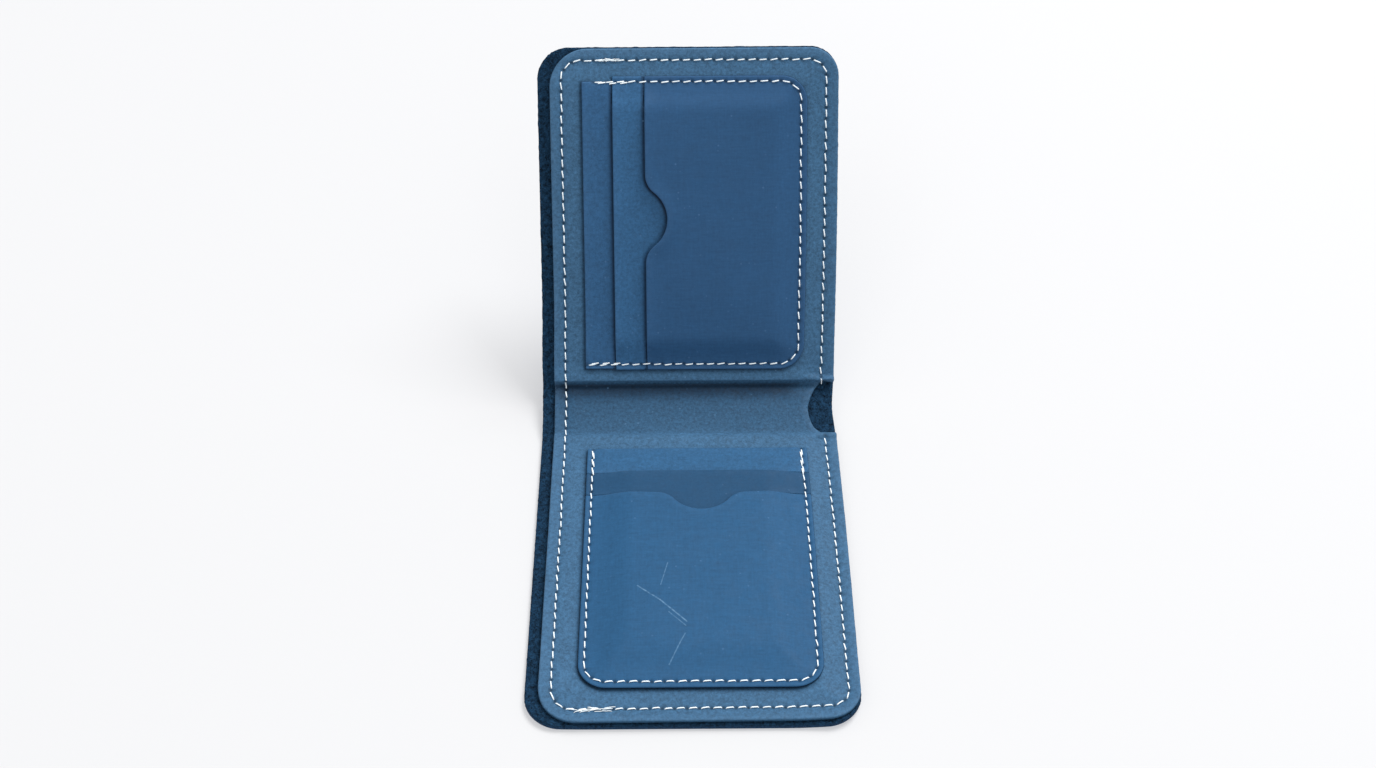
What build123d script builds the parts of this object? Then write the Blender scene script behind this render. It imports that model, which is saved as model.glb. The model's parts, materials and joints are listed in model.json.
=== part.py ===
"""Leather bifold wallet: a cover, a liner, two stacks of card pockets and the thread that holds them."""

import os
from math import cos, radians, sin

from build123d import *

# Driving dimensions, millimetres and degrees
LINER_WIDTH = 91.0
HALF_LENGTH = 107.0  # free edge to fold line
SPINE_LENGTH = 19.0  # fold line to fold line
MOUTH_SETBACK = 4.0  # the cover stands this far past the liner at the banknote mouth
CORNER_RADIUS = 10.0
COVER_THICKNESS = 2.0
LINER_THICKNESS = 1.4
POCKET_THICKNESS = 1.1
BANKNOTE_GAP = 1.0  # free height between cover and liner
SPINE_GAP = 0.5
CARD_GAP = 0.15  # free height of an empty card slot
LOWER_FOLD = 19.0  # how far each fold is bent at rest
UPPER_FOLD = 36.0
CLOSED_FOLD = 91.5  # how far each fold is bent when the wallet is shut

# Seams and stitches
SEAM_INSET = 3.7  # cover and liner seam, from the edge
SEAM_FLANGE = 6.0  # liner strip that lies on the cover along the seam
SEAM_RAMP = 6.0
SEAM_CORNER = 5.5
STITCH_PITCH = 3.45
STITCH_LENGTH = 2.5
THREAD_WIDTH = 0.6
THREAD_HEIGHT = 0.3
GROOVE_WIDTH = 0.9
GROOVE_DEPTH = 0.35

# Card pockets: each stack has a back, a middle and a front piece
STACK_CORNER = 10.0
STACK_SEAM = 1.7
STACK_FLANGE = 2.4
STACK_RAMP = 4.0
TONGUE_INSET = 6.6  # the hidden part of a back or middle piece is this much narrower each side
BUTT_GAP = 0.1
SHOULDER = 6.0  # rounding where a lip turns into its thumb notch
THUMB_WIDTH = 20.0
THUMB_DEPTH = 6.8
LOWER_STACK_WIDTH = 70.0
LOWER_STACK_FROM_EDGE = 9.5
LOWER_LIPS = (89.8, 79.3, 69.3)  # back, middle and front lip, from the closed end
LOWER_TONGUE = 69.0
UPPER_STACK_WIDTH = 93.5
UPPER_STACK_FROM_FOLD = 4.9
UPPER_LIPS = (71.0, 61.4, 51.3)
UPPER_TONGUE = 51.0
STACK_SIDE_MARGIN = 10.0  # upper stack's closed end to the liner's edge

# Fold construction
FOLD_HEIGHT = COVER_THICKNESS + 0.5  # fold axis above the cover's outer face
FOLD_CLEARANCE = 0.15
COVER_LAP = 2.0  # each cover half runs this far past its fold axis
NOTCH_RADIUS = 12.0
NOTCH_CENTRE_OUT = 3.8  # the notch's centre is this far outside the edge

# Worked out
cover_width = LINER_WIDTH + MOUTH_SETBACK
right = cover_width / 2
liner_left = right - LINER_WIDTH
liner_centre = (right + liner_left) / 2
liner_level = COVER_THICKNESS
raised_top = liner_level + BANKNOTE_GAP + LINER_THICKNESS
lower_fold_y = HALF_LENGTH / 2
upper_fold_y = lower_fold_y + SPINE_LENGTH * cos(radians(LOWER_FOLD))
upper_fold_z = FOLD_HEIGHT + SPINE_LENGTH * sin(radians(LOWER_FOLD))


def leaning(y, z, angle):
    """A plane through the fold axis at (y, z), leaning back by angle, dropped to the cover's outer face."""
    axis = Plane(origin=(0, y, z), x_dir=(1, 0, 0), z_dir=(0, -sin(radians(angle)), cos(radians(angle))))
    return axis.offset(-FOLD_HEIGHT)


lower_plane = leaning(lower_fold_y, FOLD_HEIGHT, 0)
spine_plane = leaning(lower_fold_y, FOLD_HEIGHT, LOWER_FOLD)
upper_plane = leaning(upper_fold_y, upper_fold_z, LOWER_FOLD + UPPER_FOLD)


def save(part, name):
    part.label = name
    export_step(part, f"parts/{name}.step")


def half_outline(left, start, end):
    """Draws a half in the current sketch, from its square fold edge (start) to its rounded free edge (end)."""
    away = 1 if end > start else -1
    with Locations(((left + right) / 2, (start + end) / 2)):
        sheet = Rectangle(right - left, abs(end - start))
    fillet(sheet.vertices().group_by(Axis.Y)[-1 if away > 0 else 0], CORNER_RADIUS)


def seam_path(end, mouth_side):
    """A half's seam line, down the closed side and along the free edge, or its row along the mouth."""
    away = 1 if end > 0 else -1
    side, far, mouth = right - SEAM_INSET, end - away * SEAM_INSET, liner_left + SEAM_INSET
    if mouth_side:
        return Line((mouth, away * STITCH_LENGTH), (mouth, far - away * (SEAM_RAMP + SEAM_INSET)))
    corners = [(side, away * STITCH_LENGTH), (side, far), (mouth + SEAM_CORNER, far)]
    return FilletPolyline(*corners, radius=SEAM_CORNER)


def stitch_row(path):
    """Draws evenly spaced stitches in the current sketch, along a path drawn in its plane."""
    count = max(1, round(path.length / STITCH_PITCH))
    for i in range(count):
        along = (i + 0.5) / count
        heading = Vector(1, 0, 0).get_signed_angle(path.tangent_at(along), Vector(0, 0, 1))
        with Locations(path.position_at(along)):
            SlotOverall(STITCH_LENGTH, THREAD_WIDTH, rotation=heading)


def make_cover_half(plane, end):
    """One half of the cover, with a groove for the seam in its outer face."""
    away = 1 if end > 0 else -1
    seam = seam_path(end, False)
    with BuildPart() as cover:
        with BuildSketch(plane):
            half_outline(-right, -away * (COVER_LAP - FOLD_CLEARANCE), end)
        extrude(amount=COVER_THICKNESS)
        with BuildSketch(plane):
            trace(seam, GROOVE_WIDTH)
        extrude(amount=GROOVE_DEPTH, mode=Mode.SUBTRACT)
    return cover.part


def mound_section(low, high, inset, radius):
    """Draws one level of a raised area in the current sketch, inset from two opposite corners."""
    with Locations(((low[0] + high[0]) / 2, (low[1] + high[1]) / 2)):
        RectangleRounded(high[0] - low[0] - 2 * inset, high[1] - low[1] - 2 * inset, radius)


def make_liner_half(plane, end):
    """One half of the liner: on the cover along the seam, clear of it over the banknote space."""
    away = 1 if end > 0 else -1
    beyond = 40.0  # the raised region runs past the open sides, where it has no slope
    near, far = sorted((-away * beyond, end - away * SEAM_FLANGE))
    low, high = (liner_left - beyond, near), (right - SEAM_FLANGE, far)
    with BuildPart() as liner:
        with BuildSketch(plane.offset(liner_level)):
            half_outline(liner_left, 0, end)
        extrude(amount=LINER_THICKNESS)
        for base, mode in ((liner_level + LINER_THICKNESS, Mode.ADD), (liner_level, Mode.SUBTRACT)):
            for inset, rise in ((0, 0), (SEAM_RAMP, BANKNOTE_GAP)):
                with BuildSketch(plane.offset(base + rise)):
                    mound_section(low, high, inset, CORNER_RADIUS / 2)
            loft(mode=mode)
        with BuildSketch(plane):
            half_outline(liner_left, 0, end)
        extrude(amount=raised_top + 1, mode=Mode.INTERSECT)
        split(bisect_by=mitre(plane, away), keep=Keep.TOP)
    return liner.part


def mitre(plane, away):
    """The plane that a liner piece is cut back to, so that its fold can close."""
    lean = 90 - CLOSED_FOLD / 2
    return Plane(plane.location * Pos(Z=FOLD_HEIGHT) * Rot(X=-away * (180 - lean))).offset(FOLD_CLEARANCE)


def make_cover_spine():
    """The cover between the folds."""
    with BuildPart() as cover:
        with BuildSketch(spine_plane):
            with Locations((0, SPINE_LENGTH / 2)):
                Rectangle(cover_width, SPINE_LENGTH - 2 * (COVER_LAP + FOLD_CLEARANCE))
        extrude(amount=COVER_THICKNESS)
    return cover.part


def make_liner_spine():
    """The liner between the folds, with a half-round notch in its closed side."""
    with BuildPart() as liner:
        with BuildSketch(spine_plane.offset(COVER_THICKNESS + SPINE_GAP)):
            with Locations((liner_centre, SPINE_LENGTH / 2)):
                Rectangle(LINER_WIDTH, SPINE_LENGTH)
            with Locations((right + NOTCH_CENTRE_OUT, SPINE_LENGTH / 2)):
                Circle(NOTCH_RADIUS, mode=Mode.SUBTRACT)
        extrude(amount=LINER_THICKNESS)
        split(bisect_by=mitre(spine_plane, 1), keep=Keep.TOP)
        split(bisect_by=mitre(Plane(spine_plane.location * Pos(Y=SPINE_LENGTH)), -1), keep=Keep.TOP)
    return liner.part


def stack_plane(plane, x, y, mouth):
    """A plane on the raised liner with its origin at a stack's closed end and +Y towards its mouth."""
    base = plane.offset(raised_top)
    origin = base.from_local_coords(Vector(x, y, 0))
    across = plane.x_dir if mouth == "fold" else plane.y_dir
    return Plane(origin=origin, x_dir=across, z_dir=plane.z_dir)


def hat_profile(width, rise):
    """A pocket piece's section across its mouth: flat flanges, sloping sides and a raised middle."""
    edge, foot = width / 2, width / 2 - STACK_FLANGE
    top = foot - STACK_RAMP
    inner = [(edge, 0), (foot, 0), (top, rise), (-top, rise), (-foot, 0), (-edge, 0)]
    outer = [(x, z + POCKET_THICKNESS) for x, z in reversed(inner)]
    Polyline(*inner, *outer, close=True)


def make_back_pocket(plane, width, lips, tongue):
    """A T-shaped piece: a full-width bar at the lip and a narrower tongue under the other pieces."""
    back, middle, _ = lips
    bar = back - middle - BUTT_GAP
    with BuildPart() as pocket:
        with BuildSketch(plane):
            with Locations((0, back - bar / 2)):
                Rectangle(width, bar)
            with Locations((0, back - tongue / 2)):
                Rectangle(width - 2 * TONGUE_INSET, tongue)
        extrude(amount=POCKET_THICKNESS)
    return pocket.part


def make_middle_pocket(plane, width, lips, tongue):
    """The second T-shaped piece, which rises over the back piece's tongue."""
    _, middle, front = lips
    rise = POCKET_THICKNESS + CARD_GAP
    lip = plane.from_local_coords(Vector(0, middle, 0))
    with BuildPart() as pocket:
        with BuildSketch(Plane(origin=lip, x_dir=-plane.x_dir, z_dir=plane.y_dir)):
            with BuildLine():
                hat_profile(width, rise)
            make_face()
        extrude(amount=-(middle - front - BUTT_GAP))
        with BuildSketch(plane.offset(rise)):
            with Locations((0, middle - tongue / 2)):
                Rectangle(width - 2 * TONGUE_INSET, tongue)
        extrude(amount=POCKET_THICKNESS)
    return pocket.part


def make_front_pocket(plane, width, lips):
    """The outermost piece, closed on three sides and raised over both tongues, with a thumb notch."""
    front = lips[2]
    rise = 2 * (POCKET_THICKNESS + CARD_GAP)
    beyond = 30.0
    low, high = (STACK_FLANGE - width / 2, STACK_FLANGE), (width / 2 - STACK_FLANGE, front + beyond)
    radius = (THUMB_WIDTH**2 / 4 + THUMB_DEPTH**2) / (2 * THUMB_DEPTH)
    with BuildPart() as pocket:
        with BuildSketch(plane) as outline:
            with Locations((0, front / 2)):
                sheet = Rectangle(width, front)
            fillet(sheet.vertices().group_by(Axis.Y)[0], STACK_CORNER)
            with Locations((0, front + radius - THUMB_DEPTH)):
                Circle(radius, mode=Mode.SUBTRACT)
            shoulders = outline.vertices().group_by(Axis.Y)[-1].sort_by(Axis.X)[1:-1]
            fillet(shoulders, SHOULDER)
        extrude(amount=POCKET_THICKNESS)
        for base, mode in ((POCKET_THICKNESS, Mode.ADD), (0, Mode.SUBTRACT)):
            for inset, height in ((0, 0), (STACK_RAMP, rise)):
                with BuildSketch(plane.offset(base + height)):
                    mound_section(low, high, inset, STACK_CORNER - STACK_FLANGE - inset)
            loft(mode=mode)
        extrude(outline.sketch, amount=rise + 2 * POCKET_THICKNESS, mode=Mode.INTERSECT)
    return pocket.part


def make_stack_thread(plane, width, lips):
    """Stitches down one side of a stack, round its closed end and up the other side."""
    side = width / 2 - STACK_SEAM
    back, middle, front = (lip - STITCH_LENGTH / 2 for lip in lips)
    corners = [(-side, front), (-side, STACK_SEAM), (side, STACK_SEAM), (side, front)]
    paths = [FilletPolyline(*corners, radius=STACK_CORNER - STACK_SEAM)]
    for x in (-side, side):
        paths.append(Line((x, back), (x, middle + STITCH_LENGTH)))
        paths.append(Line((x, middle), (x, front + STITCH_LENGTH)))
    with BuildPart() as thread:
        with BuildSketch(plane.offset(POCKET_THICKNESS)):
            for path in paths:
                stitch_row(path)
        extrude(amount=THREAD_HEIGHT)
    return thread.part


def make_seam_thread(plane, end, level, height, mouth_side=False):
    """One row of the thread along a half's seam, or along its mouth edge."""
    path = seam_path(end, mouth_side)
    with BuildPart() as thread:
        with BuildSketch(plane.offset(level)):
            stitch_row(path)
        extrude(amount=height)
    return thread.part


def make_spine_thread():
    """The mouth edge row where it crosses the spine."""
    mouth = liner_left + SEAM_INSET
    path = Line((mouth, STITCH_LENGTH), (mouth, SPINE_LENGTH - STITCH_LENGTH))
    with BuildPart() as thread:
        with BuildSketch(spine_plane.offset(COVER_THICKNESS + SPINE_GAP + LINER_THICKNESS)):
            stitch_row(path)
        extrude(amount=THREAD_HEIGHT)
    return thread.part


os.makedirs("parts", exist_ok=True)
seam_level = liner_level + LINER_THICKNESS
for half, plane, end in (("lower", lower_plane, -HALF_LENGTH), ("upper", upper_plane, HALF_LENGTH)):
    save(make_cover_half(plane, end), f"cover_{half}")
    save(make_liner_half(plane, end), f"liner_{half}")
    save(make_seam_thread(plane, end, seam_level, THREAD_HEIGHT), f"seam_thread_{half}_inside")
    save(make_seam_thread(plane, end, GROOVE_DEPTH, -THREAD_HEIGHT), f"seam_thread_{half}_outside")
    save(make_seam_thread(plane, end, raised_top, THREAD_HEIGHT, True), f"mouth_thread_{half}")
save(make_cover_spine(), "cover_spine")
save(make_liner_spine(), "liner_spine")
save(make_spine_thread(), "mouth_thread_spine")

lower_stack = stack_plane(lower_plane, liner_centre, LOWER_STACK_FROM_EDGE - HALF_LENGTH, "fold")
upper_middle = UPPER_STACK_FROM_FOLD + UPPER_STACK_WIDTH / 2
upper_stack = stack_plane(upper_plane, right - STACK_SIDE_MARGIN, upper_middle, "mouth")
stacks = (
    ("lower", lower_stack, LOWER_STACK_WIDTH, LOWER_LIPS, LOWER_TONGUE),
    ("upper", upper_stack, UPPER_STACK_WIDTH, UPPER_LIPS, UPPER_TONGUE),
)
for half, plane, width, lips, tongue in stacks:
    save(make_back_pocket(plane, width, lips, tongue), f"{half}_pocket_back")
    save(make_middle_pocket(plane, width, lips, tongue), f"{half}_pocket_middle")
    save(make_front_pocket(plane, width, lips), f"{half}_pocket_front")
    save(make_stack_thread(plane, width, lips), f"{half}_pocket_thread")
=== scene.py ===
"""Looks of the leather wallet: leather sheets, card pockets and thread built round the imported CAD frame."""

import json
from math import cos, pi, radians, sin, tan

import bmesh
import bpy
import numpy as np
from mathutils import Matrix, Vector
from mathutils.geometry import delaunay_2d_cdt


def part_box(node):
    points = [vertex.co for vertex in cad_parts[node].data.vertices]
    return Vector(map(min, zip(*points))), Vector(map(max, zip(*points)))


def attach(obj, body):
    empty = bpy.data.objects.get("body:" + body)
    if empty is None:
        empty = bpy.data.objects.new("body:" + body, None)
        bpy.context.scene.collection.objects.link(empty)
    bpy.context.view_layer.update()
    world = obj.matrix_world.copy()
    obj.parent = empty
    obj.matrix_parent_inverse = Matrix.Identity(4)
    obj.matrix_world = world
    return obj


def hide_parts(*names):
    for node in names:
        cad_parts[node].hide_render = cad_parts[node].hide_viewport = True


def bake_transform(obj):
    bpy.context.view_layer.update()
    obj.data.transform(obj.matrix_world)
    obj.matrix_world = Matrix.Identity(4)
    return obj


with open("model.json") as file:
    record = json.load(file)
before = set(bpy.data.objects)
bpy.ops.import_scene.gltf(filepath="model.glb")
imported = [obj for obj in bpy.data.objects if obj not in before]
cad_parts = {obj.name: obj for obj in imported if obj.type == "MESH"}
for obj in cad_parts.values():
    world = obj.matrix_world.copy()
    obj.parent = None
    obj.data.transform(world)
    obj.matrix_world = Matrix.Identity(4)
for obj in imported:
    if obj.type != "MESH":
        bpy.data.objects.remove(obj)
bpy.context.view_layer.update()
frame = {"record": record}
MM = 0.001
rng = np.random.default_rng(7)

# ---- the frame's own sizes, in mm
JOINTS = {j["name"]: j for j in frame["record"]["behaviour"]["joints"]}


def box_mm(node):
    low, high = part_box(node)
    return np.array(low) / MM, np.array(high) / MM


AXIS_1 = np.array(JOINTS["lower_fold"]["pos_m"]) / MM
AXIS_2 = np.array(JOINTS["upper_fold"]["pos_m"]) / MM
BEND_1 = -JOINTS["lower_fold"]["range_deg"][0]
BEND_2 = -JOINTS["upper_fold"]["range_deg"][0]
AXIS_H = AXIS_1[2]
FREE_Y = box_mm("cover_lower")[0][1]
COVER_L, RIGHT = box_mm("cover_lower")[0][0], box_mm("cover_lower")[1][0]
LEFT = box_mm("liner_lower")[0][0]
V1 = AXIS_1[1] - FREE_Y
V2 = V1 + float(np.hypot(*(AXIS_2 - AXIS_1)[1:]))
V_END = V2 + V1
V_MID = (V1 + V2) / 2

COVER_T = box_mm("cover_lower")[1][2]
LINER_T = 1.4
POCKET_T = 1.1
GAP = 1.0  # between the cover and the liner of a half: the banknote space
SPINE_GAP = 0.5  # the same in the spine
PROUD, LOWER_PROUD = 0.4, 1.0  # how far the cover's cut edge shows past the liner's, at the top and bottom
STRETCH = 1.0115  # worn leather: the lower half has stretched this much along its length


# ---- flat pattern to row frame
def smooth(x, a, b):
    t = np.clip((np.asarray(x, float) - a) / (b - a), 0, 1)
    return t * t * (3 - 2 * t)


def bump(x, centre, width):
    return np.exp(-(((np.asarray(x, float) - centre) / width) ** 2))


def fold_line(reach_1, reach_2, before=5.0, step=0.05):
    """The bent centre line of a sheet: pattern length v, then its y, z and slope in the row frame."""
    v = np.arange(-before, V_END + before, step)
    slope, speed = np.zeros_like(v), np.ones_like(v)
    for at, reach, bend in ((V1, reach_1, BEND_1), (V2, reach_2, BEND_2)):
        slope += radians(bend) * np.clip((v - at + reach) / (2 * reach), 0, 1)
        half = radians(bend) / 2
        speed[np.abs(v - at) < reach] = half / tan(half)
    y = np.concatenate([[0], np.cumsum((np.cos(slope) * speed)[:-1] * step)])
    z = np.concatenate([[0], np.cumsum((np.sin(slope) * speed)[:-1] * step)])
    return v, y + FREE_Y - before, z + AXIS_H, slope


LINE = fold_line(1.8, 1.5)


def warp(u, v):
    """How far the whole stack of leather stands off its flat plane, with its small curls and bows."""
    curl = 1.5 * smooth(u, 24, 50) ** 1.5 * smooth(-v, -30, 2) ** 1.5
    lift = 0.5 * smooth(-u, 22, 48) ** 2 * smooth(-v, -22, 2) ** 2
    top = smooth(v, V2 + 4, V_END)
    bow = 0.9 * top * (1 - bump(u, 2, 40)) + 0.35 * np.sin(v / 21.0 + u / 40.0) * smooth(v, V2 + 3, V2 + 30)
    return curl + lift + bow


def waist(u, v):
    """How far the leather is drawn in sideways round the spine."""
    right = -(0.8 * bump(v, V_MID + 4, 42) + 0.45 * bump(v, V_MID + 1, 6)) * smooth(u, -15, 40)
    return right - 0.4 * bump(v, V2 + 6, 12) * smooth(-u, 20, 47)


def place(u, v, h):
    """Pattern coordinates and height above the cover's outer face, all in mm, to row frame metres."""
    u, v, h = (np.asarray(x, float) for x in np.broadcast_arrays(u, v, h))
    h = h + warp(u, v) - AXIS_H
    u = u + waist(u, v)
    v = np.where(v < V1, V1 - (V1 - v) * STRETCH, v)
    y, z, slope = (np.interp(v, LINE[0], c) for c in LINE[1:])
    return np.stack([u, y - h * np.sin(slope), z + h * np.cos(slope)], -1) * MM


# ---- outlines and seam paths
def rounded(corners, step=0.7, closed=True):
    """A polyline through (u, v, radius) corners, with each corner rounded, divided into short steps."""
    pts = np.array([c[:2] for c in corners], float)
    n, path = len(pts), []
    for i, (_, _, r) in enumerate(corners):
        if not closed and i in (0, n - 1) or r <= 0:
            path.append(pts[i])
            continue
        a, b = pts[i - 1] - pts[i], pts[(i + 1) % n] - pts[i]
        a, b = a / np.linalg.norm(a), b / np.linalg.norm(b)
        half = np.arccos(np.clip(a @ b, -1, 1)) / 2
        start, end = pts[i] + a * r / np.tan(half), pts[i] + b * r / np.tan(half)
        centre = pts[i] + (a + b) / np.linalg.norm(a + b) * r / np.sin(half)
        k = max(3, int(r * (pi - 2 * half) / step) + 1)
        t0, t1 = start - centre, end - centre
        for f in np.linspace(0, 1, k):
            w = (pi - 2 * half) or 1e-6
            path.append(centre + (np.sin((1 - f) * w) * t0 + np.sin(f * w) * t1) / np.sin(w))
    path = np.array(path)
    if closed:
        path = np.vstack([path, path[:1]])
    out = [path[0]]
    for p, q in zip(path[:-1], path[1:]):
        k = max(1, int(np.ceil(np.linalg.norm(q - p) / step)))
        out += [p + (q - p) * j / k for j in range(1, k + 1)]
    out = np.array(out)
    keep = np.concatenate([[True], np.linalg.norm(np.diff(out, axis=0), axis=1) > 1e-4])
    out = out[keep]
    return out[:-1] if closed else out


def curve_through(points, step=0.5):
    """A smooth open curve through the points."""
    p = np.array(points, float)
    p = np.vstack([2 * p[0] - p[1], p, 2 * p[-1] - p[-2]])
    out = []
    for i in range(1, len(p) - 2):
        k = max(2, int(np.linalg.norm(p[i + 1] - p[i]) / step))
        for t in np.linspace(0, 1, k, endpoint=False):
            a = 2 * p[i]
            b = p[i + 1] - p[i - 1]
            c = 2 * p[i - 1] - 5 * p[i] + 4 * p[i + 1] - p[i + 2]
            d = -p[i - 1] + 3 * p[i] - 3 * p[i + 1] + p[i + 2]
            out.append(0.5 * (a + b * t + c * t * t + d * t**3))
    out.append(p[-2])
    return np.array(out)


def along(path, distances):
    """Points and unit directions at distances along an open polyline."""
    seg = np.linalg.norm(np.diff(path, axis=0), axis=1)
    s = np.concatenate([[0], np.cumsum(seg)])

    def at(d):
        return np.stack([np.interp(d, s, path[:, k]) for k in (0, 1)], -1)

    e = 0.6
    d = at(np.minimum(distances + e, s[-1])) - at(np.maximum(distances - e, 0))
    return at(distances), d / np.linalg.norm(d, axis=1)[:, None]


class Seam:
    """A row of stitches on the pattern. holes are the needle holes, one more than the stitches."""

    def __init__(self, path, pitch=3.45):
        self.path = np.array(path)
        length = np.linalg.norm(np.diff(self.path, axis=0), axis=1).sum()
        count = int(round(length / pitch))
        ends = np.linspace(0, length, count + 1)
        self.holes, _ = along(self.path, ends)
        self.mid, self.dir = along(self.path, (ends[:-1] + ends[1:]) / 2)
        self.rows, self.rows_dir = along(self.path, np.arange(0, length, length / count / 8))


def distance_to(points, path, closed=False, chunk=1500):
    """Distance from each point to a polyline."""
    a = path
    b = np.roll(path, -1, axis=0) if closed else path[1:]
    a = a if closed else path[:-1]
    ab = b - a
    l2 = np.maximum((ab**2).sum(1), 1e-12)
    out = np.empty(len(points))
    for i in range(0, len(points), chunk):
        p = points[i : i + chunk, None, :]
        t = np.clip(((p - a) * ab).sum(-1) / l2, 0, 1)
        out[i : i + chunk] = np.sqrt((((a + t[..., None] * ab) - p) ** 2).sum(-1)).min(1)
    return out


def inside(points, poly, chunk=3000):
    """Which points lie inside an outline."""
    a, b = poly, np.roll(poly, -1, axis=0)
    out = np.zeros(len(points), bool)
    for i in range(0, len(points), chunk):
        x, y = points[i : i + chunk, 0, None], points[i : i + chunk, 1, None]
        cross = (a[:, 1] > y) != (b[:, 1] > y)
        with np.errstate(divide="ignore", invalid="ignore"):
            xi = a[:, 0] + (y - a[:, 1]) / (b[:, 1] - a[:, 1]) * (b[:, 0] - a[:, 0])
        out[i : i + chunk] = (cross & (x < xi)).sum(1) % 2 == 1
    return out


def inward(poly):
    """Inward normals of an anticlockwise outline, longer at its sharp corners."""
    e = np.roll(poly, -1, axis=0) - poly
    e /= np.linalg.norm(e, axis=1)[:, None]
    n = np.stack([-e[:, 1], e[:, 0]], -1)
    m = n + np.roll(n, 1, axis=0)
    m /= np.linalg.norm(m, axis=1)[:, None]
    return m / np.maximum((m * n).sum(1), 0.62)[:, None]


def anticlockwise(poly):
    """The outline, turned round if it runs clockwise."""
    after = np.roll(poly, -1, axis=0)
    return poly[::-1] if ((after[:, 0] - poly[:, 0]) * (after[:, 1] + poly[:, 1])).sum() > 0 else poly


SHADE_WAY = np.array([-0.75, -0.66])  # pattern direction, away from the light


# painted shadow that a raised edge would cast on the leather under it
def painted_contact_shadow(u, v, outline, depth, reach):
    """Painted shadow: darkening of the leather along a raised edge that rests on it, deepest below and to the left of
    the edge.
    """
    p = np.column_stack([u, v])
    tone = np.ones(len(p))
    gap = distance_to(p, outline, closed=True)
    near = np.flatnonzero((gap < reach) | inside(p, outline))
    if len(near):
        ahead = distance_to(p[near] + 0.1 * SHADE_WAY, outline, closed=True)
        facing = np.clip(0.3 + 7.0 * (ahead - gap[near]), 0, 1)
        covered = inside(p[near], outline)
        tone[near] = np.where(covered, 1, 1 - depth * facing * (1 - smooth(gap[near], 0.3, reach)))
    return tone


# ---- leather sheets
def dents(points, seams, depth):
    """Depth that the seams pull into a surface, and how near each point is to a needle hole."""
    pull, hole = np.zeros(len(points)), np.zeros(len(points))
    for seam in seams:
        d = distance_to(points, seam.path)
        near = d < 3.5
        pull[near] = np.maximum(pull[near], depth * np.exp(-((d[near] / 0.85) ** 2)))
        if near.any():
            p = points[near]
            dh = np.full(len(p), 99.0)
            for i in range(0, len(p), 2000):
                dh[i : i + 2000] = np.linalg.norm(p[i : i + 2000, None] - seam.holes, axis=-1).min(1)
            w = np.exp(-((dh / 0.5) ** 2))
            hole[near] = np.maximum(hole[near], w)
            pull[near] += 0.3 * w
    return pull, hole


RINGS = ((0.0, 1.0), (0.1, 0.42), (0.25, 0.12), (0.5, 0.0))  # distance in from a cut edge, and share of its drop
SEAM_ROWS = (-1.5, -0.85, -0.4, 0.0, 0.4, 0.85, 1.5)  # rows of vertices beside a seam
EDGE_ROWS = (0.1, 0.35, 0.7, 1.1, 1.6)  # and outside the edge of a piece that rests on the sheet
SEAM_DENT = 0.26
TOP_FACE, CUT_EDGE, BACK_FACE = 0, 1, 2  # material slots


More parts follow.
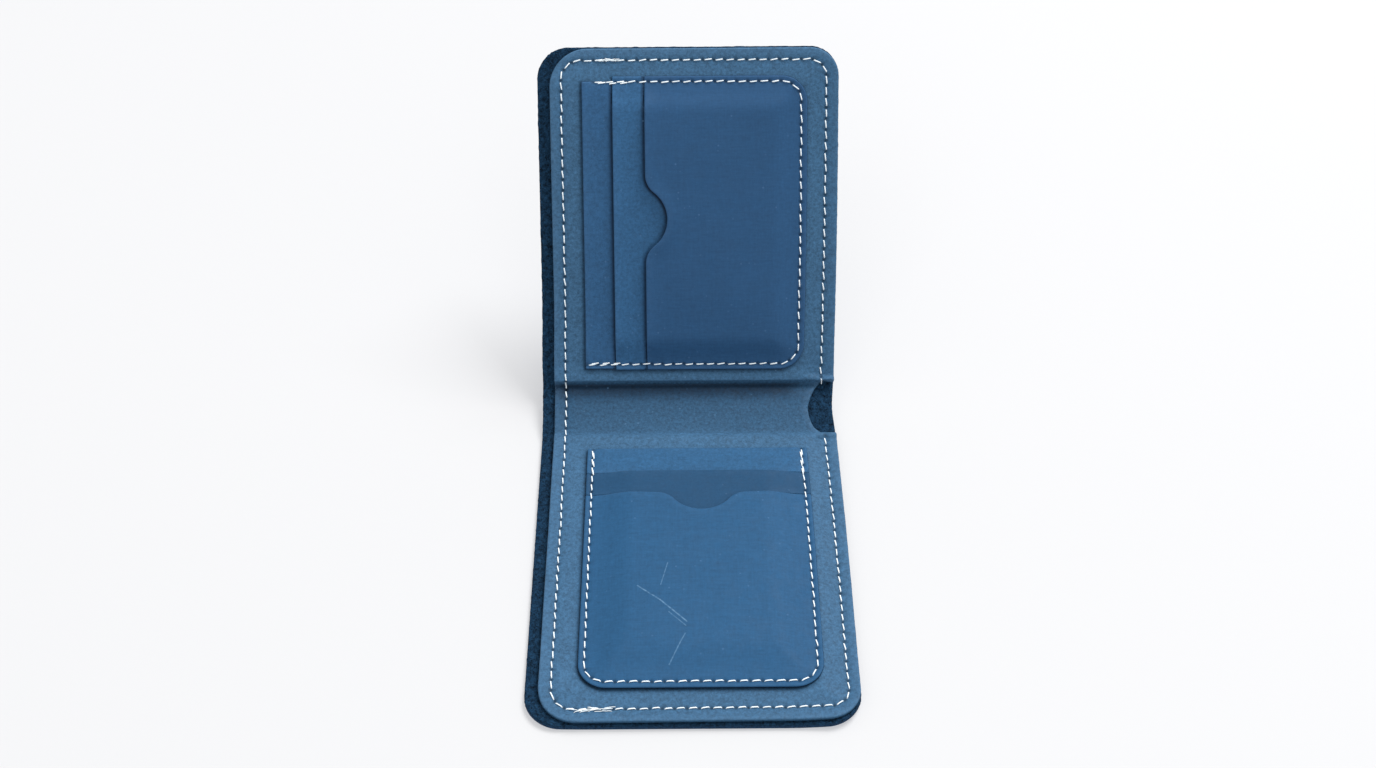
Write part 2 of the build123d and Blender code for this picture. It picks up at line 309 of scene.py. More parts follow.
def sheet_mesh(name, poly, top, bottom, seams=(), back_seams=(), step=1.5, v_lines=(), soft=0.36, cut=None,
               fuzz=0.05, tone=None, raised=()):
    """A closed sheet of leather over a pattern outline, between the heights top and bottom.

    seams and back_seams are sewn on its two faces, and raised are outlines of pieces that rest on it.
    v_lines are bands (from, to, step) of v with closer vertices. Its cut edges are rounded by soft and
    made ragged by fuzz, but not where v is cut. tone darkens the leather with painted shade.
    """
    poly = anticlockwise(poly)
    normal = inward(poly)
    n = len(poly)
    ragged = np.convolve(np.tile(rng.normal(0, 1, n), 3), np.ones(2) / 2, "same")[n : 2 * n]
    on_cut = np.zeros(n, bool) if cut is None else np.abs(poly[:, 1] - cut) < 0.01
    rings = [poly + normal * d for d, _ in RINGS]
    low, high = poly.min(0), poly.max(0)
    us = np.arange(low[0] - 0.37, high[0], step)
    vs = np.arange(low[1] - 0.41, high[1], step)
    vs = [v for v in vs if not any(a - step / 2 < v < b + step / 2 for a, b, _ in v_lines)]
    for a, b, s in v_lines:
        vs += list(np.arange(max(a, low[1]), min(b, high[1]), s))
    gu, gv = np.meshgrid(us, np.array(sorted(vs)))
    gu = gu + (np.arange(len(vs)) % 2 * step / 2)[:, None]
    grid = np.stack([gu.ravel(), gv.ravel()], -1)
    rows = []
    for seam in list(seams) + list(back_seams):
        side = np.stack([-seam.rows_dir[:, 1], seam.rows_dir[:, 0]], -1)
        rows += [seam.rows + side * off for off in SEAM_ROWS]
        grid = grid[distance_to(grid, seam.path) > 1.5 + step * 0.45]
    for outline in raised:
        away = inward(anticlockwise(outline))
        grid = grid[distance_to(grid, outline, closed=True) > 2.2]
        for offset in EDGE_ROWS:
            line = anticlockwise(outline) - away * offset
            line = line[distance_to(line, outline, closed=True) > offset * 0.9]
            for seam in seams:
                line = line[distance_to(line, seam.path) > 1.8]
            rows.append(line)
    pts = np.vstack([grid] + rows)
    pts = pts[inside(pts, rings[-1])]
    pts = pts[distance_to(pts, rings[-1], closed=True) > 0.3]
    coords = [Vector(p) for p in np.vstack([rings[-1], pts])]
    loop = [(i, (i + 1) % n) for i in range(n)]
    flat, _, tris, orig, _, _ = delaunay_2d_cdt(coords, loop, [], 1, 1e-5)
    flat = np.array([tuple(p) for p in flat])
    index = {}
    for new, olds in enumerate(orig):
        for o in olds:
            index.setdefault(o, new)
    ring_of_flat = [index[i] for i in range(n)]

    def layer(height, sign, seam_list):
        """Ring and inner vertices of one face, with its heights."""
        ps = np.vstack(rings[:-1] + [flat])
        drop = np.concatenate([np.where(on_cut, 0, d) for _, d in RINGS[:-1]] + [np.zeros(len(flat))]) * soft
        pull, hole = dents(ps, seam_list, SEAM_DENT)
        return ps, height(ps[:, 0], ps[:, 1]) - sign * (drop + pull), hole

    tp, th, thole = layer(top, 1, seams)
    bp, bh, bhole = layer(bottom, -1, back_seams)
    k = len(tp)
    mid_uv, mid_h = [], []
    for f in (0.33, 0.67):
        off = np.where(on_cut, 0, 0.05 + fuzz * ragged * 0.6)
        mid_uv.append(poly - normal * off[:, None])
        mid_h.append(th[:n] * (1 - f) + bh[:n] * f)
    uv = np.vstack([tp, bp] + mid_uv)
    h = np.concatenate([th, bh] + mid_h)
    base = (len(RINGS) - 1) * n
    ring_ids = [[j * n + i for i in range(n)] for j in range(len(RINGS) - 1)]
    ring_ids.append([base + r for r in ring_of_flat])
    faces, kinds = [], []
    for shift, flip in ((0, False), (k, True)):
        for a, b in zip(ring_ids[:-1], ring_ids[1:]):
            for i in range(n):
                j = (i + 1) % n
                q = [a[i] + shift, a[j] + shift, b[j] + shift, b[i] + shift]
                faces.append(q[::-1] if flip else q)
                kinds.append(BACK_FACE if flip else TOP_FACE)
        for t in tris:
            q = [base + i + shift for i in t]
            ends = [flat[i] for i in t]
            area = sum(a[0] * b[1] - b[0] * a[1] for a, b in zip(ends, ends[1:] + ends[:1]))
            q = q if area > 0 else q[::-1]
            faces.append(q[::-1] if flip else q)
            kinds.append(BACK_FACE if flip else TOP_FACE)
    loops = [[start + i for i in range(n)] for start in (0, 2 * k, 2 * k + n, k)]
    for a, b in zip(loops[:-1], loops[1:]):
        for i in range(n):
            j = (i + 1) % n
            faces.append([a[j], a[i], b[i], b[j]])
            kinds.append(CUT_EDGE)
    edge = distance_to(uv, poly if cut is None else poly[~on_cut], closed=cut is None)
    hole = np.concatenate([thole, bhole, np.zeros(2 * n)])
    # painted shade, kept as the tone attribute
    shade = np.ones(len(uv)) if tone is None else tone(uv[:, 0], uv[:, 1])
    numbers = {"edge": edge, "hole": hole, "tone": shade}
    pattern = np.column_stack([uv, h])
    return make_object(name, place(uv[:, 0], uv[:, 1], h), faces, kinds, numbers, pattern, on_cut, loops)


def make_object(name, co, faces, kinds=None, numbers=None, pattern=None, on_cut=None, loops=None):
    """A smooth mesh object. Its edges stay sharp where the flat ends of a sheet, on_cut, meet its faces."""
    mesh = bpy.data.meshes.new(name)
    mesh.from_pydata([tuple(c) for c in co], [], faces)
    mesh.validate(verbose=False)
    if kinds is not None and len(mesh.polygons) == len(kinds):
        mesh.polygons.foreach_set("material_index", np.array(kinds, np.int32))
    for key, values in (numbers or {}).items():
        mesh.attributes.new(key, "FLOAT", "POINT").data.foreach_set("value", np.asarray(values, np.float32))
    if pattern is not None:
        data = mesh.attributes.new("pattern", "FLOAT_VECTOR", "POINT").data
        data.foreach_set("vector", np.asarray(pattern, np.float32).ravel())
    mesh.polygons.foreach_set("use_smooth", np.ones(len(mesh.polygons), bool))
    if on_cut is not None and on_cut.any():
        cut_ids = {ring[i] for ring in loops for i in np.nonzero(on_cut)[0]}
        top_ids, low_ids = set(loops[0]), set(loops[-1])
        sharp = np.zeros(len(mesh.edges), bool)
        for e in mesh.edges:
            a, b = e.vertices
            if a in cut_ids and b in cut_ids and ({a, b} <= top_ids or {a, b} <= low_ids):
                sharp[e.index] = True
        mesh.attributes.new("sharp_edge", "BOOLEAN", "EDGE").data.foreach_set("value", sharp)
    mesh.update()
    o = bpy.data.objects.new(name, mesh)
    bpy.context.collection.objects.link(o)
    return o


# ---- thread
def tube_faces(count, around, base=0):
    """Faces of a closed tube of count rings of around vertices, the first of them numbered base."""
    faces = []
    for i in range(base, base + (count - 1) * around, around):
        for j in range(around):
            k = (j + 1) % around
            faces.append([i + j, i + k, i + around + k, i + around + j])
    faces.append([base + j for j in range(around)][::-1])
    faces.append([base + (count - 1) * around + j for j in range(around)])
    return faces


def stitch_parts(seam, height, sign=1, keep=None, length=2.6, radius=0.195, slant=7.0, doubled=0):
    """Vertices, faces and pattern places of a row's stitches.

    height is the surface they lie on, sign the side of it they show, and doubled how many at each end
    of the row are sewn twice.
    """
    around, steps = 12, 15
    verts, faces, pattern = [], [], []
    theta = np.linspace(0, 2 * pi, around, endpoint=False)
    middles = list(zip(seam.mid, seam.dir))
    spots = [(m, d, 0.0) for m, d in middles]
    spots += [(m + d * 0.9, d, 0.34) for m, d in middles[:doubled]]
    spots += [(m - d * 0.9, d, 0.34) for m, d in middles[::-1][:doubled]]
    for m, d, aside in spots:
        if keep is not None and not keep(m):
            continue
        angle = radians(slant + rng.normal(0, 2.2))
        d = np.array([d[0] * cos(angle) - d[1] * sin(angle), d[0] * sin(angle) + d[1] * cos(angle)])
        side = np.array([-d[1], d[0]])
        m = m + side * (rng.normal(0, 0.06) + aside)
        half = (length + rng.normal(0, 0.07)) / 2
        r = radius * (1 + rng.normal(0, 0.04))
        t = np.linspace(-1, 1, steps)
        t = np.sign(t) * np.abs(t) ** 0.8
        line = m + np.outer(t * half, d)
        rise = 0.14 + 0.05 * (1 - t**2) - 0.85 * np.abs(t) ** 7 + rng.normal(0, 0.015)
        h = height(line[:, 0], line[:, 1]) + sign * rise
        thin = 1 - 0.3 * np.abs(t) ** 6
        phase = rng.uniform(0, 2 * pi)
        lobes = 1 + 0.11 * np.cos(3 * (theta[None] - 2 * pi * t[:, None] * half / 2.1) + phase)
        across = np.cos(theta)[None] * lobes * r * thin[:, None]
        up = np.sin(theta)[None] * lobes * r * 0.8 * thin[:, None]
        uv = line[:, None, :] + across[..., None] * side
        hh = h[:, None] + up
        base = sum(len(x) for x in verts)
        verts.append(place(uv[..., 0], uv[..., 1], hh).reshape(-1, 3))
        pattern.append(np.stack([uv[..., 0], uv[..., 1], hh], -1).reshape(-1, 3))
        faces += tube_faces(steps, around, base)
    return verts, faces, pattern


def strand(points, radius, around=7):
    """A thin loose strand through pattern points (u, v, h)."""
    p = curve_through(points, 0.22)
    t = np.gradient(p, axis=0)
    t /= np.linalg.norm(t, axis=1)[:, None]
    side = np.cross(t, [0, 0, 1.0])
    side /= np.maximum(np.linalg.norm(side, axis=1), 1e-6)[:, None]
    up = np.cross(side, t)
    theta = np.linspace(0, 2 * pi, around, endpoint=False)
    r = radius * np.clip(np.minimum(np.arange(len(p)), np.arange(len(p))[::-1]) / 2.0 + 0.25, 0, 1)
    outward = np.cos(theta)[:, None] * side[:, None] + np.sin(theta)[:, None] * up[:, None]
    q = p[:, None] + outward * r[:, None, None]
    return q.reshape(-1, 3), tube_faces(len(p), around)


def thread_object(name, parts, strands=()):
    """One object of stitches and loose strands."""
    verts, faces, pattern = (list(x) for x in parts)
    count = sum(len(v) for v in verts)
    for q, f in strands:
        verts.append(place(q[:, 0], q[:, 1], q[:, 2]))
        pattern.append(q)
        faces += [[count + i for i in face] for face in f]
        count += len(q)
    o = make_object(name, np.vstack(verts), faces, None, None, np.vstack(pattern))
    bm = bmesh.new()
    bm.from_mesh(o.data)
    bmesh.ops.recalc_face_normals(bm, faces=bm.faces)
    bm.to_mesh(o.data)
    bm.free()
    return o


# ---- patterns
def from_left(x):
    return LEFT + x


NOTCH = curve_through([
    (RIGHT - 4.9, V1 + 0.2), (RIGHT - 7.3, V1 + 2.9), (RIGHT - 8.3, V1 + 7.5),
    (RIGHT - 7.9, V1 + 11.0), (RIGHT - 6.3, V1 + 15.6), (RIGHT - 4.0, V2 + 0.1),
], 0.55)


def liner_half(lower):
    """Pattern outline of half the liner, from its free edge to the middle of the spine, with its part of the notch."""
    if lower:
        notch = NOTCH[NOTCH[:, 1] < V_MID]
        corners = [(LEFT, V_MID, 0), (LEFT, -0.5, 11.0), (RIGHT, 0, 9.5), (RIGHT, V1 + 0.2, 0.35)]
    else:
        notch = NOTCH[NOTCH[:, 1] > V_MID][::-1]
        corners = [(LEFT, V_MID, 0), (LEFT, V_END, 12.0), (RIGHT, V_END, 9.0), (RIGHT, V2 - 0.5, 0.35)]
    at = np.interp(V_MID, NOTCH[:, 1], NOTCH[:, 0])
    path = rounded(corners + [(notch[0][0], notch[0][1], 0)], closed=False)
    return np.vstack([path[:-1], notch, resample_line((at, V_MID), (LEFT, V_MID))[:-1]])


def resample_line(p, q, step=0.7):
    """Points on a straight line, at most step apart."""
    k = int(np.ceil(np.hypot(q[0] - p[0], q[1] - p[1]) / step))
    return np.linspace(p, q, k + 1)


def cover_half(lower):
    """Pattern outline of half the cover, from its free edge to the middle of the spine."""
    end, r_left, r_right = (-LOWER_PROUD, 10.5, 9.8) if lower else (V_END + PROUD, 10.0, 9.3)
    side = RIGHT + PROUD / 4
    drawn_in, crease = side - 0.45, V1 - 4 if lower else V2 + 2
    corners = [(COVER_L, V_MID, 0), (COVER_L, end, r_left), (side, end, r_right), (side, crease, 4)]
    path = rounded(corners + [(drawn_in, V_MID, 0)], closed=False)
    return np.vstack([path, resample_line((drawn_in, V_MID), (COVER_L, V_MID))[1:-1]])


def cover_top(u, v):
    return np.full_like(u, COVER_T)


def cover_low(u, v):
    return np.zeros_like(u)


def liner_low(u, v):
    """Height of the liner's underside: pressed to the cover at the seam, clear of it over the banknote space."""
    inset = np.minimum(RIGHT - u + 20 * smooth(v, V1 - 3, V1) * smooth(-v, -V2 - 3, -V2), np.minimum(v, V_END - v))
    clear = smooth(inset, 4.3, 11.0)
    spine = smooth(v, V1 - 1.6, V1 + 0.6) * (1 - smooth(v, V2 - 0.4, V2 + 0.5))
    gap = GAP * (1 - spine) + SPINE_GAP * spine
    # the upper crease: a dip below it and a fold of leather above it; the lower one is only a low swelling
    gap = gap - 0.46 * np.where(v < V2 - 1.0, bump(v, V2 - 1.0, 4.0), bump(v, V2 - 1.0, 0.5))
    gap = gap + 1.2 * np.where(v < V2 + 0.7, bump(v, V2 + 0.7, 0.75), bump(v, V2 + 0.7, 3.2))
    gap = gap + 0.3 * bump(v, V1 - 2.2, 1.6)
    mouth = smooth(-u, -LEFT - 9, -LEFT)
    gap = gap + mouth * (0.22 * np.sin(v / 17.0 + 1.0) + 0.10 * np.sin(v / 6.1)) * clear
    dent = 0.3 * bump(u, from_left(24.8), 3.0) * bump(v, V1 + 0.4, 0.6)
    dent = dent + 0.18 * bump(u, from_left(60), 5.0) * bump(v, V1 + 0.6, 0.7)
    flare = 0.22 * smooth(-inset, -1.6, 0.0)
    return COVER_T + np.maximum(gap * clear - dent, 0.02) + flare


def liner_top(u, v):
    return liner_low(u, v) + LINER_T


def spine_painted_shade_and_wear(u, v):
    """Painted shade on the creased spine, darkest below the upper crease, and 1 elsewhere on the flat halves but for a
    little painted shade just above that crease and paler rubbed leather at the top end.
    """
    on_spine = smooth(v, V1 - 0.5, V1 + 0.6) * (1 - smooth(v, V2 - 0.9, V2 - 0.1))
    # painted shade: the spine darker than the flat halves, deepest below the upper crease where the upper half shades
    # it
    shadow = 0.46 * smooth(v, V2 - 9.0, V2 - 2.4) * (1 - 0.7 * smooth(u, RIGHT - 17, RIGHT - 9))
    depth = 0.22 + 0.12 * smooth(v, V1 + 1, V1 + 11) + shadow
    rubbed_top = 0.25 * smooth(v, V_END - 4.5, V_END - 1.0)
    # the bump just above the upper crease is painted shade too; rubbed_top is paler worn leather
    return 1 - on_spine * depth - 0.12 * bump(v, V2 + 1.6, 1.5) + rubbed_top


THUMB_DEPTH, THUMB_RADIUS, THUMB_SHOULDER = 6.9, 10.6, 7.2  # the notch in each front pocket's lip
SEWN_DOWN = 2.3  # width of the band at a pocket's sewn edge that lies flat
CORNER = 9.0  # reach of a front pocket's rounded lower corners
LEVEL = 0.03  # between two surfaces that touch


class Stack:
    """A stack of card pockets. x runs across it and y from its closed end towards its mouth.

    origin is x = y = 0 on the pattern, and across and toward are the directions of x and y there.
    lips are the mouths of the back, middle and front pocket, and tongue the length of the back and
    middle pieces. The front lip is droop lower at its ends than at its notch, which is at notch_at.
    ramp is how far in from the sewn edges the pockets reach their full height, shy how much narrower
    the back pocket's bar is than the others at each of its ends, and gape how far a mouth stands open.
    """

    def __init__(self, name, origin, toward, across, width, lips, tongue, notch_at, droop, ramp, shy, gape):
        self.name, self.origin, self.toward, self.across = name, np.array(origin), np.array(toward), np.array(across)
        self.width, self.lips, self.tongue, self.notch_at, self.droop = width, lips, tongue, notch_at, droop
        self.ramp, self.shy, self.gape, self.tongue_inset = ramp, shy, gape, ramp - 1.5

    def uv(self, xy):
        xy = np.asarray(xy, float)
        return self.origin + xy[:, :1] * self.across + xy[:, 1:] * self.toward

    def xy(self, u, v):
        d = np.stack([np.asarray(u, float), np.asarray(v, float)], -1) - self.origin
        return d @ self.across, d @ self.toward

    def rise(self, u, v, full, closed_end):
        """How high a pocket has risen off the liner, up to full, inside the edges it is sewn down at."""
        x, y = self.xy(u, v)
        side = self.width / 2 - np.abs(x)
        inset = side
        if closed_end:
            inset = np.minimum(side, y)
            corner = np.hypot(np.maximum(CORNER - side, 0), np.maximum(CORNER - y, 0))
            inset = np.where((side < CORNER) & (y < CORNER), CORNER - corner, inset)
        return full * smooth(inset, SEWN_DOWN, self.ramp)

    def t_piece(self, lip, next_lip, shy=(0.0, 0.0), drop=0.0):
        """Outline of a back or middle pocket: a bar below its lip and a narrower hidden tongue."""
        left, right, thin = shy[0] - self.width / 2, self.width / 2 - shy[1], self.width / 2 - self.tongue_inset
        out, near, end = next_lip + 0.1 - drop, next_lip + 0.1 - 0.48 * drop, lip - self.tongue
        corners = [(left, lip, 0.4), (left, out, 0.3), (-thin, near, 0.8), (-thin, end, 2)]
        corners += [(thin, end, 2), (thin, near, 0.8), (right, out, 0.3), (right, lip, 0.4)]
        return self.uv(rounded(corners))

    def footprint(self):
        """Outline of all that rests on the liner."""
        half, lip, bar = self.width / 2, self.lips[0], self.lips[1]
        left, right = self.shy[0] - half, half - self.shy[1]
        corners = [(left, lip, 0.4), (left, bar, 0), (-half, bar, 0), (-half, 0, 8.2)]
        return self.uv(rounded(corners + [(half, 0, 8.2), (half, bar, 0), (right, bar, 0), (right, lip, 0.4)]))

    def covered(self):
        """Outline of what the middle pocket covers of the back one."""
        half, lip = self.width / 2 + 1, self.lips[1]
        return self.uv(rounded([(-half, lip, 0), (-half, lip - 9, 0), (half, lip - 9, 0), (half, lip, 0)]))

    def front_piece(self):
        """Outline of the front pocket. Its lip runs into the notch by one arc and out by the same, turned round."""
        half, lip, at, r, bend = self.width / 2, self.lips[2], self.notch_at, THUMB_RADIUS, THUMB_SHOULDER
        phi = np.arccos(1 - THUMB_DEPTH / (r + bend))
        wide = (r + bend) * np.sin(phi)
        into, round_, out_of = np.linspace(0, phi, 9), np.linspace(phi, -phi, 25)[1:-1], np.linspace(phi, 0, 9)
        notch = [(at + wide - bend * np.sin(a), lip - bend * (1 - np.cos(a))) for a in into]
        notch += [(at + r * np.sin(a), lip - THUMB_DEPTH + r * (1 - np.cos(a))) for a in round_]
        notch += [(at - wide + bend * np.sin(a), lip - bend * (1 - np.cos(a))) for a in out_of]
        # the corner's radius stays a sum: the number of outline points, and so every later random draw, hangs on it
        tip, corner = lip - self.droop, 7.4 + 0.8
        path = rounded([(-half, tip, 0.4), (-half, 0, corner), (half, 0, corner), (half, tip, 0.4)])
        end = tip - 0.35
        side = path[path[:, 1] < end]
        side = np.roll(side, -np.argmin(np.hypot(side[:, 0] + half, side[:, 1] - end)), axis=0)
        right_lip = resample_line((half - 0.25, tip), (at + wide, lip))
        left_lip = resample_line((at - wide, lip), (-half + 0.25, tip))
        out = np.vstack([side, right_lip[:-1], np.array(notch), left_lip[1:]])
        gap = np.linalg.norm(np.roll(out, -1, axis=0) - out, axis=1)
        return self.uv(out[gap > 0.05])

    def seam(self, start, inset=1.75):
        """The U of stitches round the stack, from y = start[0] round its closed end to y = start[1]."""
        half = self.width / 2 - inset
        corners = [(-half, start[0], 0), (-half, 1.9, 6.2), (half, 1.9, 6.2), (half, start[1], 0)]
        return Seam(self.uv(rounded(corners, closed=False, step=0.4)))


LOWER = Stack("lower", (from_left(46.0), 9.5), (0, 1), (1, 0), 70.0, (89.8, 79.3, 69.3), 69.0,
              notch_at=0.9, droop=-1.2, ramp=15.0, shy=(0.0, 0.0), gape=0.15)
UPPER = Stack("upper", (from_left(81.1), V2 + 4.9 + 46.75), (-1, 0), (0, 1), 93.5, (71.0, 61.4, 51.3), 51.0,
              notch_at=2.1, droop=0.0, ramp=10.9, shy=(0.35, 1.55), gape=0.7)

LOWER_SEAM = LOWER.seam((89.4, 89.4))
UPPER_SEAM = UPPER.seam((70.6, 67.4))
EDGE = 3.65  # from the liner's edge to the seam round it


def edge_seam(*corners):
    """A seam through (distance from the liner's left edge, v, radius) corners."""
    return Seam(rounded([(from_left(x), v, r) for x, v, r in corners], closed=False, step=0.4))


PERIMETER = edge_seam((87.3, V1 - 1.6, 0), (87.6, EDGE + 0.5, 5.0), (3.6, EDGE, 6.5),
                      (3.6, V_END - EDGE, 6.0), (87.2, V_END - EDGE, 5.5), (86.9, V2 - 1.4, 0))
OUTSIDE_LOWER = edge_seam((87.3, V1 - 2.6, 0), (87.6, EDGE, 5.5), (9.5, EDGE, 0))
OUTSIDE_UPPER = edge_seam((87.2, V2 + 2.6, 0), (87.2, V_END - EDGE, 5.5), (9.5, V_END - EDGE, 0))

# ---- sheets
STACK_SHAPES = [stack.footprint() for stack in (LOWER, UPPER)]


# Painted shade on the liner: the spine's painted shade and wear, and the painted shadow round each pocket stack.
def liner_painted_shade_and_wear(u, v):
    tone = spine_painted_shade_and_wear(u, v)
    for shape in STACK_SHAPES:
        tone = tone * painted_contact_shadow(u, v, shape, 0.7, 1.4)
    return tone


CREASES = ((V1 - 4.5, V1 + 4.5, 0.5), (V2 - 4.5, V2 + 4.5, 0.35))


def cover_sheet(name, lower, seam, crease):
    return sheet_mesh(name, cover_half(lower), cover_top, cover_low, back_seams=[seam], step=1.9,
                      v_lines=[crease], cut=V_MID, soft=0.42, fuzz=0.12)


def liner_sheet(name, lower, crease, shape):
    return sheet_mesh(name, liner_half(lower), liner_top, liner_low, seams=[PERIMETER],
                      v_lines=[crease], cut=V_MID, tone=liner_painted_shade_and_wear, raised=[shape])


def pocket_heights(stack, number, full):
    """Heights of the two faces of a stack's pocket: 0 is the back one and 2 the front one."""
    lip, front = stack.lips[number], number == 2

    def low(u, v):
        x, y = stack.xy(u, v)
        side = stack.width / 2 - np.abs(x)
        away = lip - y
        if front:
            centre = stack.lips[2] + THUMB_RADIUS - THUMB_DEPTH
            away = np.minimum(away, np.hypot(x - stack.notch_at, y - centre) - THUMB_RADIUS)
        h = liner_top(u, v) + LEVEL + stack.rise(u, v, full, front)
        if front:
            h = h + 0.5 * smooth(side, 6, 26) * smooth(y, 6, 24) * (1 - 0.5 * smooth(y, lip - 12, lip))
        if number > 0:
            h = h + (0.1 + (stack.gape - 0.1) * smooth(side, 3.0, 9.0)) * (1 - smooth(away, 0.0, 5.0))
        return h

    def top(u, v):
        return low(u, v) + POCKET_T

    return top, low


def pocket_sheet(stack, seam, number, part, full):
    """One pocket of a stack, with the shade of the next one on it."""
    top, low = pocket_heights(stack, number, full)
    if part == "front":
        outline, above = stack.front_piece(), None
    else:
        shy = stack.shy if part == "back" else (0.0, 0.0)
        outline = stack.t_piece(stack.lips[number], stack.lips[number + 1], shy, stack.droop * number)
        above = stack.covered() if part == "back" else stack.front_piece()

    # painted shadow of the next pocket along its edge
    def shade(u, v):
        return painted_contact_shadow(u, v, above, 0.85, 1.5)

    over = {} if above is None else {"tone": shade, "raised": [above]}
    return sheet_mesh(f"{stack.name}_pocket_{part}_sheet", outline, top, low, seams=[seam], soft=0.3, fuzz=0.05, **over)


cover_lower = cover_sheet("cover_lower_sheet", True, OUTSIDE_LOWER, CREASES[0])
cover_upper = cover_sheet("cover_upper_sheet", False, OUTSIDE_UPPER, CREASES[1])
liner_lower = liner_sheet("liner_lower_sheet", True, CREASES[0], STACK_SHAPES[0])
liner_upper = liner_sheet("liner_upper_sheet", False, CREASES[1], STACK_SHAPES[1])
pockets = []
for stack, seam in ((LOWER, LOWER_SEAM), (UPPER, UPPER_SEAM)):
    for number, (part, full) in enumerate((("back", 0.0), ("middle", 1.25), ("front", 2.5))):
        pockets.append(pocket_sheet(stack, seam, number, part, full))

# ---- stitches
SUNK = 0.16  # how deep the leather gives way under a row of stitches


def on_liner(u, v):
    return liner_top(u, v) - SUNK


def on_pocket(u, v):
    return liner_top(u, v) + LEVEL + POCKET_T - SUNK


def on_outside(u, v):
    return np.full_like(u, 0.42)


def is_mouth(m):
    """Whether a stitch of the perimeter is in the row beside the banknote space's mouth."""
    return m[0] < from_left(12) and 9 < m[1] < V_END - 9


def wisps(centre, spread, height, count, radius, reach):
    """Loose ends of thread round a fastened end of a seam."""
    out = []
    for _ in range(count):
        start = np.array(centre) + rng.normal(0, 1, 2) * spread
        heading = rng.uniform(-0.25, 0.25) + (pi if rng.random() < 0.5 else 0)
        pts = [start]
        for _ in range(4):
            heading += rng.normal(0, 0.3)
            pts.append(pts[-1] + reach * np.array([cos(heading), 0.3 * sin(heading)]))
        pts = np.array(pts)
        h = height(pts[:, 0], pts[:, 1]) + 0.28 + np.abs(rng.normal(0, 0.12, len(pts)))
        h[0] -= 0.3
        h[-1] -= 0.25
        out.append(strand(np.column_stack([pts, h]), radius))
    return out


knot_low = wisps((from_left(14.1), EDGE - 0.1), (2.3, 0.26), on_liner, 14, 0.1, 0.9)
knot_top = wisps((from_left(18.5), V_END - EDGE + 0.1), (0.8, 0.25), on_liner, 14, 0.13, 0.55)
threads = {}
for name, keep, knot in (
    ("seam_lower_thread", lambda m: m[1] < V_MID and not is_mouth(m), knot_low),
    ("seam_upper_thread", lambda m: m[1] > V_MID and not is_mouth(m), knot_top),
    ("mouth_lower_thread", lambda m: m[1] < V_MID and is_mouth(m), ()),
    ("mouth_upper_thread", lambda m: m[1] > V_MID and is_mouth(m), ()),
):
    threads[name] = thread_object(name, stitch_parts(PERIMETER, on_liner, keep=keep), knot)
for name, seam in (("lower_pocket_stitches", LOWER_SEAM), ("upper_pocket_stitches", UPPER_SEAM)):
    threads[name] = thread_object(name, stitch_parts(seam, on_pocket, doubled=3))
for name, seam in (("seam_lower_outer_thread", OUTSIDE_LOWER), ("seam_upper_outer_thread", OUTSIDE_UPPER)):
    threads[name] = thread_object(name, stitch_parts(seam, on_outside, sign=-1, radius=0.19))

# ---- materials
LEATHER = 0.66  # the leather's colours were judged under a dimmer light than the scene's


class Nodes:
    """Short way to write a material's nodes."""

    def __init__(self, name):
        self.material = bpy.data.materials.new(name)
        self.material.use_nodes = True
        self.tree = self.material.node_tree
        self.shader = self.tree.nodes["Principled BSDF"]

    def add(self, kind, inputs=(), **settings):
        node = self.tree.nodes.new(kind)
        for key, value in settings.items():
            setattr(node, key, value)
        for key, value in dict(inputs).items():
            self.put(node.inputs[key], value)
        return node

    def put(self, socket, value):
        if isinstance(value, bpy.types.NodeSocket):
            self.tree.links.new(value, socket)
        else:
            socket.default_value = value

    def fix(self, values):
        """Set values that are the same all over on the shader's own sockets."""
        for key, value in values.items():
            self.shader.inputs[key].default_value = value

    def math(self, operation, a, b=0.0, c=0.0, clamp=False):
        return self.add("ShaderNodeMath", {0: a, 1: b, 2: c}, operation=operation, use_clamp=clamp).outputs[0]

    def attribute(self, name, output="Fac"):
        return self.add("ShaderNodeAttribute", attribute_name=name).outputs[output]

    def noise(self, vector, scale, detail=2.0, rough=0.5, distortion=0.0):
        inputs = {"Vector": vector, "Scale": scale, "Detail": detail, "Roughness": rough, "Distortion": distortion}
        return self.add("ShaderNodeTexNoise", inputs).outputs[0]

    def ramp(self, value, a, b, lo=0.0, hi=1.0):
        return self.add("ShaderNodeMapRange", {0: value, 1: a, 2: b, 3: lo, 4: hi}).outputs[0]

    def mix(self, factor, a, b):
        node = self.add("ShaderNodeMix", data_type="RGBA")
        self.put(node.inputs[0], factor)
        self.put(node.inputs[6], a)
        self.put(node.inputs[7], b)
        return node.outputs[2]

    def vector(self, operation, a, b=(0, 0, 0)):
        return self.add("ShaderNodeVectorMath", {0: a, 1: b}, operation=operation)

    def scaled(self, vector, by):
        return self.vector("MULTIPLY", vector, by).outputs[0]

    def times(self, vector, number):
        node = self.vector("SCALE", vector)
        self.put(node.inputs["Scale"], number)
        return node.outputs[0]

    def varied(self, light, noise, amount):
        """light, made brighter or darker by a noise."""
        return self.math("MULTIPLY_ADD", self.math("SUBTRACT", noise, 0.5), amount, light)

    def finished(self, relief, strength, depth):
        """The material, with its fine relief."""
        bumps = self.add("ShaderNodeBump", {"Strength": strength, "Distance": depth, "Height": relief})
        self.put(self.shader.inputs["Normal"], bumps.outputs[0])
        return self.material


def srgb(r, g, b):
    """A colour of 0 to 255 sRGB levels as linear RGBA."""
    c = np.array([r, g, b]) / 255.0
    return tuple(np.where(c <= 0.04045, c / 12.92, ((c + 0.055) / 1.055) ** 2.4)) + (1.0,)


